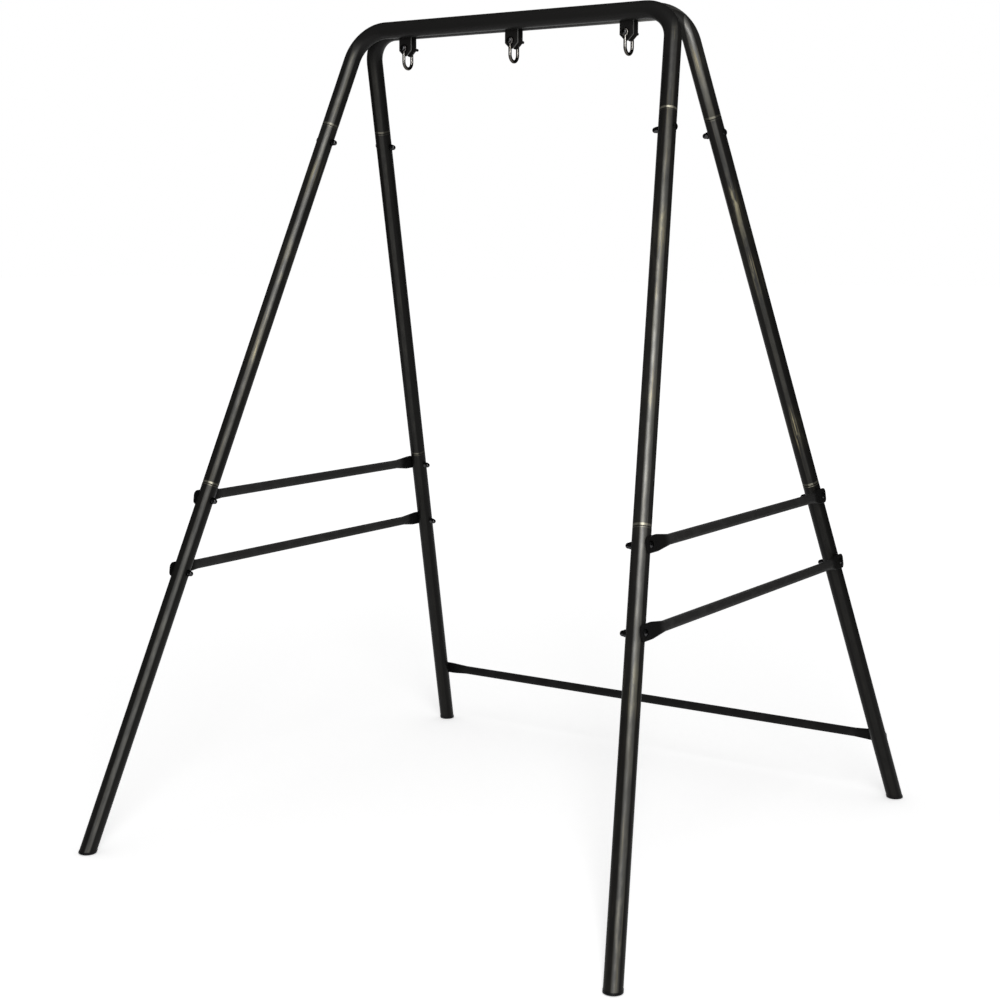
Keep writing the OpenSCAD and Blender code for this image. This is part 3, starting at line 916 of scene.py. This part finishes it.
@dataclass
class Crossbar:
    """The two top tubes, and the ears that are welded under them."""

    layout: FrameLayout
    tube_finish: BrushedTubePaint = field(default_factory=BrushedTubePaint)
    # Painted sheen and wiping on the leg stubs of each tube; the veil levels are painted light
    stubs: dict[tuple[Row, Side], SheenAndWiping] = field(default_factory=lambda: {
        (Row.FRONT, Side.LEFT): SheenAndWiping((0.75, 0.50, 0.62), ring=0.5),
        (Row.FRONT, Side.RIGHT): SheenAndWiping((0.60, 0.30, 0.27), (Patch(0.05, 0.10, 0.3),), ring=1.0),
        (Row.REAR, Side.LEFT): SheenAndWiping((0.14, 0.12, 0.11), ring=0.3),
        (Row.REAR, Side.RIGHT): SheenAndWiping(
            (1.00, 0.95, 0.24), (Patch(0.07, 0.16, 0.4),), ring=0.4, fade=(-0.03, 0.03)),
    })
    seed: float = 4.1
    # Painted highlight on the edges of the ears, bright on the front ears and nearly black on the rear
    # ones
    ear_edge_highlights: dict[Row, Colour] = field(default_factory=lambda: {
        Row.FRONT: (0.16, 0.16, 0.152), Row.REAR: (0.020, 0.020, 0.019)})

    def dress(self, nodes: Nodes) -> None:
        """Paints the tubes and the ears.

        Args:
            nodes: The frame's nodes by name.
        """
        for count, row in enumerate(Row):
            name = row.name.lower()
            legs = tuple(self.layout.leg(side, row) for side in Side)
            rubs = tuple(self.stubs[row, side] for side in Side)
            tube = WipedTube(legs, rubs, 0.0, self.layout.stub_len, self.seed + count)
            coat = self.tube_finish.material(f"{name}_top_tube_paint", tube)
            paint([nodes[f"{name}_top_tube"]], coat)
            ear_finish = SatinBlackPaint(edge_highlight=self.ear_edge_highlights[row])
            paint([nodes[f"{name}_hanger_ears"]], ear_finish.material(f"{name}_ear_paint"))


@dataclass
class HangerFittings:
    """Small fittings of the three hangers: weld beads, bolt threads and lock-nut collars."""

    weld_finish: SatinBlackPaint = field(default_factory=SatinBlackPaint)
    plate: BlackZincPlate = field(default_factory=BlackZincPlate)
    nylon: MouldedBlackPlastic = field(default_factory=MouldedBlackPlastic)
    pitch: float = 0.293
    axis_z: float = 1.808
    # Weld beads where the ears meet the tubes: their lines, length, radius and sides, how slim their
    # tips are, how blunt they end, and the length, height and steps of a ripple
    weld_lines: tuple[Span, ...] = ((0.0075, 1.83527), (0.0111, 1.83296))
    weld_len: float = 0.030
    weld_r: float = 0.0019
    weld_sides: int = 10
    weld_tip: float = 0.35
    weld_bluntness: int = 6
    ripple: float = 0.0017
    ripple_height: float = 0.09
    ripple_steps: int = 3
    # Threads of the bolt tails, past the lock nuts, and the steps of one turn
    thread_pitch: float = 0.0010
    thread_root: float = 0.00292
    thread_crest: float = 0.00312
    thread_steps: int = 28
    tail_start: float = 0.0272
    tail_end: float = 0.0384
    # Collars at the ends of the lock nuts, the steps round them, and their rounded edges, which are
    # those that turn by more than an angle in radians
    nut_end: float = 0.0257
    collar_h: float = 0.0012
    collar_in: float = 0.0031
    collar_out: float = 0.0045
    collar_steps: int = 40
    collar_round: float = 0.0004
    sharp_angle: float = 1.2

    @property
    def places(self) -> list[float]:
        """Distances of the hangers along the crossbar."""
        return [count * self.pitch for count in (-1, 0, 1)]

    def build(self) -> None:
        """Makes the fittings of all three hangers."""
        self._welds()
        self._threads()
        self._collars()

    def _welds(self) -> bpy.types.Object:
        """Lays a rippled bead along both faces of each ear.

        Returns:
            The piece.
        """
        bm = bmesh.new()
        for x in self.places:
            for row in Row:
                for y, z in self.weld_lines:
                    self._bead(bm, Vector((x - self.weld_len / 2, row.value * y, z)))
        return piece_from(bm, "ear_welds", self.weld_finish.material("weld_paint"))

    def _bead(self, bm: bmesh.types.BMesh, start: Vector) -> None:
        """Sweeps one bead along the crossbar.

        Args:
            bm: The mesh that it is added to.
            start: Where it starts.
        """
        steps = self.ripple_steps * round(self.weld_len / self.ripple)
        turn = Matrix.Translation(start) @ Matrix.Rotation(math.pi / 2, 4, "Y")
        first = bmesh.ops.create_circle(bm, cap_ends=True, segments=self.weld_sides,
                                        radius=self.weld_r * self.weld_tip, matrix=turn)
        edges = edges_at(first["verts"])
        size = self.weld_tip
        for step in range(1, steps + 1):
            grown = bmesh.ops.extrude_edge_only(bm, edges=edges)["geom"]
            edges = [part for part in grown if isinstance(part, bmesh.types.BMEdge)]
            verts = [part for part in grown if isinstance(part, bmesh.types.BMVert)]
            share = step / steps
            wave = 1 + self.ripple_height * math.cos(step * math.tau / self.ripple_steps)
            wanted = max(self.weld_tip, 1 - abs(2 * share - 1) ** self.weld_bluntness) * wave
            here = start + Vector((self.weld_len * share, 0.0, 0.0))
            bmesh.ops.translate(bm, verts=verts, vec=(self.weld_len / steps, 0.0, 0.0))
            bmesh.ops.scale(bm, verts=verts, vec=(1.0, wanted / size, wanted / size),
                            space=Matrix.Translation(-here))
            size = wanted
        bmesh.ops.edgeloop_fill(bm, edges=edges)

    def _threads(self) -> bpy.types.Object:
        """Winds a thread round each bolt tail.

        Returns:
            The piece.
        """
        bm = bmesh.new()
        length = self.tail_end - self.tail_start
        turns = length / self.thread_pitch
        steps = round(self.thread_steps * turns)
        # A three-sided ridge, whose middle lies a third of the way up
        middle = (self.thread_root * 2 + self.thread_crest) / 3
        tall = (self.thread_crest - self.thread_root) * 2 / 3
        for x in self.places:
            axis = Vector((x, self.tail_start, self.axis_z))
            ridge = bmesh.ops.create_circle(bm, cap_ends=True, segments=3, radius=1.0)["verts"]
            bmesh.ops.scale(bm, verts=ridge, vec=(self.thread_pitch / 2, tall, 1.0))
            bmesh.ops.rotate(bm, verts=ridge, matrix=Matrix.Rotation(-math.pi / 2, 3, "Z"))
            bmesh.ops.translate(bm, verts=ridge, vec=axis + Vector((middle, 0.0, 0.0)))
            bmesh.ops.spin(bm, geom=[*ridge, *edges_at(ridge), *faces_at(ridge)], cent=axis,
                           axis=(0.0, 1.0, 0.0), steps=steps, dvec=(0.0, length / steps, 0.0),
                           angle=math.tau * turns)
        bmesh.ops.holes_fill(bm, edges=[edge for edge in bm.edges if edge.is_boundary], sides=3)
        return piece_from(bm, "hanger_bolt_threads", self.plate.material("thread_zinc"))

    def _collars(self) -> bpy.types.Object:
        """Turns the raised collar at the end of each lock nut.

        Returns:
            The piece.
        """
        bm = bmesh.new()
        wide = self.collar_out - self.collar_in
        for x in self.places:
            quad = bmesh.ops.create_grid(bm, x_segments=1, y_segments=1, size=0.5)["verts"]
            bmesh.ops.scale(bm, verts=quad, vec=(wide, self.collar_h, 1.0))
            spot = Vector((x + self.collar_in + wide / 2, self.nut_end + self.collar_h / 2, self.axis_z))
            bmesh.ops.translate(bm, verts=quad, vec=spot)
            edges = edges_at(quad)
            bmesh.ops.delete(bm, geom=faces_at(quad), context="FACES_ONLY")
            bmesh.ops.spin(bm, geom=[*quad, *edges], cent=(x, 0.0, self.axis_z), axis=(0.0, 1.0, 0.0),
                           steps=self.collar_steps, angle=math.tau, use_merge=True)
        sharp = [edge for edge in bm.edges
                 if len(edge.link_faces) == 2 and edge.calc_face_angle() > self.sharp_angle]
        bmesh.ops.bevel(bm, geom=sharp, offset=self.collar_round, offset_type="OFFSET", segments=3,
                        profile=0.5, affect="EDGES", material=-1)
        return piece_from(bm, "lock_nut_collars", self.nylon.material("collar_nylon"))


@dataclass
class BraceSet:
    """The side braces and the rear brace."""

    # Lit and shaded copies of one paint: the rear brace's darker copy is painted shade
    side_finish: SatinBlackPaint = field(default_factory=lambda: SatinBlackPaint(
        black=(0.027, 0.0265, 0.026), bloom=(0.036, 0.0355, 0.035), roughness=(0.44, 0.60), gloss=0.035))
    rear_shaded_finish: SatinBlackPaint = field(default_factory=lambda: SatinBlackPaint(
        black=(0.014, 0.0137, 0.0135), bloom=(0.020, 0.0197, 0.0195), roughness=(0.44, 0.60), gloss=0.035))
    # Flattened ends darkened with painted shade: their length, and the stretch where the coat changes
    end_len: float = 0.085
    end_change: float = 0.022

    def dress(self, nodes: Nodes) -> None:
        """Paints the braces.

        Args:
            nodes: The frame's nodes by name.
        """
        for name, node in nodes.items():
            if name.endswith("brace"):
                rear = name.startswith("rear")
                finish = self.rear_shaded_finish if rear else self.side_finish
                axis = Axis.X if rear else Axis.Y
                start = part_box(name)[1][axis] - self.end_len
                ends = ShadedEnds(axis, start, start + self.end_change)
                paint([node], finish.material(f"{name}_paint", ends))


@dataclass
class Hardware:
    """Bolts, nuts and shackles."""

    plate: BlackZincPlate = field(default_factory=BlackZincPlate)
    nickel: BrightNickelPlate = field(default_factory=BrightNickelPlate)
    # How much painted shade darkens the eyes of each shackle
    shaded_eyes: dict[str, float] = field(default_factory=lambda: {
        "left_shackle": 0.95, "middle_shackle": 0.8, "right_shackle": 0.1})

    def dress(self, nodes: Nodes) -> None:
        """Plates the fasteners and the shackles.

        Args:
            nodes: The frame's nodes by name.
        """
        fasteners = [node for name, node in nodes.items() if name.endswith(("bolts", "nuts"))]
        paint(fasteners, self.plate.material("black_zinc"))
        for name, eye_shading in self.shaded_eyes.items():
            paint([nodes[name]], self.nickel.material(f"{name}_nickel", eye_shading))


@dataclass
class FootSet:
    """The four plastic feet."""

    finish: MouldedBlackPlastic = field(default_factory=MouldedBlackPlastic)

    def dress(self, nodes: Nodes) -> None:
        """Gives the feet their plastic."""
        feet = [node for name, node in nodes.items() if name.startswith("foot_")]
        paint(feet, self.finish.material("foot_plastic"))


@dataclass
class Studio:
    """Floor, light and camera."""

    floor: StudioFloor = field(default_factory=StudioFloor)
    floor_half: float = 60.0
    # Camera, in metres, degrees and millimetres
    eye: Triple = (2.20653, -3.39420, 1.34932)
    eye_turn: float = 33.430
    eye_tilt: float = -8.070
    eye_roll: float = 0.132
    lens: float = 63.745
    # How bright the surroundings are as light, where 1 is the white that is seen
    surround: float = 0.45
    # Tall soft light in front: turn from the front, place and height of its middle, and size
    key_turn: float = 37.0
    key_away: float = 4.1
    key_middle: float = 3.15
    key_width: float = 0.45
    key_height: float = 5.0
    key_watts: float = 95.0
    key_aim: Triple = (0.0, 0.0, 1.58)
    # Dark flags at both sides of the view and over the object, that only reflections show:
    # distance to a side, reach to the front and the rear, height, and the one overhead
    flag_away: float = 2.3
    flag_ahead: float = 4.8
    flag_behind: float = 4.0
    flag_height: float = 5.0
    roof_ahead: float = 0.8
    roof_height: float = 3.2
    flag_grey: float = 0.08

    def build(self) -> None:
        """Makes the floor, the surroundings, the light, the flags and the camera."""
        self._floor()
        self._surroundings()
        self._key_light()
        self._flags()
        self._camera()

    def _flags(self) -> None:
        """Stands the dark flags, which give bright metal dark edges."""
        cloth = PaintSketch("flag_cloth")
        cloth.set(Base_Color=(self.flag_grey,) * 3, Roughness=1.0)
        length = self.flag_ahead + self.flag_behind
        middle = (self.flag_ahead - self.flag_behind) / 2
        for side in Side:
            upright = Matrix.Translation((middle, side.value * self.flag_away, self.flag_height / 2))
            upright @= Matrix.Rotation(math.pi / 2, 4, "X")
            self._flag(f"flag_{side.name.lower()}", cloth.material, (length, self.flag_height), upright)
        level = Matrix.Translation(((self.roof_ahead - self.flag_behind) / 2, 0.0, self.roof_height))
        roof_size = (self.roof_ahead + self.flag_behind, 2 * self.flag_away)
        self._flag("flag_roof", cloth.material, roof_size, level)

    def _flag(self, name: str, coat: bpy.types.Material, size: Span, place: Matrix) -> None:
        """Makes one flag.

        Args:
            name: Name of the flag.
            coat: Its cloth.
            size: Its length and width.
            place: Its place, where X points to the camera.
        """
        turn = Matrix.Rotation(math.radians(self.eye_turn - 90), 4, "Z")
        bm = bmesh.new()
        bmesh.ops.create_grid(bm, x_segments=1, y_segments=1, size=0.5,
                              matrix=turn @ place @ Matrix.Diagonal((*size, 1.0, 1.0)))
        flag = object_from(bm, name, coat)
        flag.visible_camera = False
        flag.visible_diffuse = False
        flag.visible_shadow = False

    def _floor(self) -> None:
        """Lays the floor."""
        bm = bmesh.new()
        bmesh.ops.create_grid(bm, x_segments=1, y_segments=1, size=self.floor_half)
        floor = object_from(bm, "studio_floor", self.floor.material("studio_floor"))

    def _surroundings(self) -> None:
        """Makes the white surroundings."""
        world = bpy.data.worlds.new("studio")
        sketch = NodeSketch(world)
        strength = sketch.span(sketch.seen(), self.surround, 1.0)
        light = sketch.add("ShaderNodeBackground", {"Color": (1.0, 1.0, 1.0), "Strength": strength})
        sketch.show(light.outputs["Background"], "ShaderNodeOutputWorld")
        bpy.context.scene.world = world

    def _key_light(self) -> None:
        """Hangs the tall soft light behind the camera."""
        lamp = bpy.data.lights.new("key", "AREA")
        lamp.shape = "RECTANGLE"
        lamp.size = self.key_width
        lamp.size_y = self.key_height
        lamp.energy = self.key_watts
        turn = math.radians(self.key_turn)
        spot = Vector((self.key_away * math.sin(turn), -self.key_away * math.cos(turn), self.key_middle))
        light = bpy.data.objects.new("key", lamp)
        light.location = spot
        light.rotation_euler = (Vector(self.key_aim) - spot).to_track_quat("-Z", "Y").to_euler()
        light.visible_camera = False
        bpy.context.scene.collection.objects.link(light)

    def _camera(self) -> None:
        """Places the camera at the photograph's angle."""
        lens = bpy.data.cameras.new("camera")
        lens.lens = self.lens
        camera = bpy.data.objects.new("camera", lens)
        turn = Matrix.Rotation(math.radians(self.eye_turn), 3, "Z")
        turn @= Matrix.Rotation(math.radians(90 + self.eye_tilt), 3, "X")
        turn @= Matrix.Rotation(math.radians(self.eye_roll), 3, "Z")
        camera.location = self.eye
        camera.rotation_euler = turn.to_euler()
        bpy.context.scene.collection.objects.link(camera)
        bpy.context.scene.camera = camera


def main() -> None:
    """Loads the frame, dresses it and sets up the studio."""
    logging.basicConfig(level=logging.INFO, format="%(name)s: %(message)s")
    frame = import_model()
    bpy.context.scene.view_settings.view_transform = "Standard"
    nodes: Nodes = frame["nodes"]
    layout = FrameLayout()
    LegSet(layout).dress(nodes)
    Crossbar(layout).dress(nodes)
    BraceSet().dress(nodes)
    Hardware().dress(nodes)
    HangerFittings().build()
    FootSet().dress(nodes)
    Studio().build()


if __name__ == "__main__":
    main()
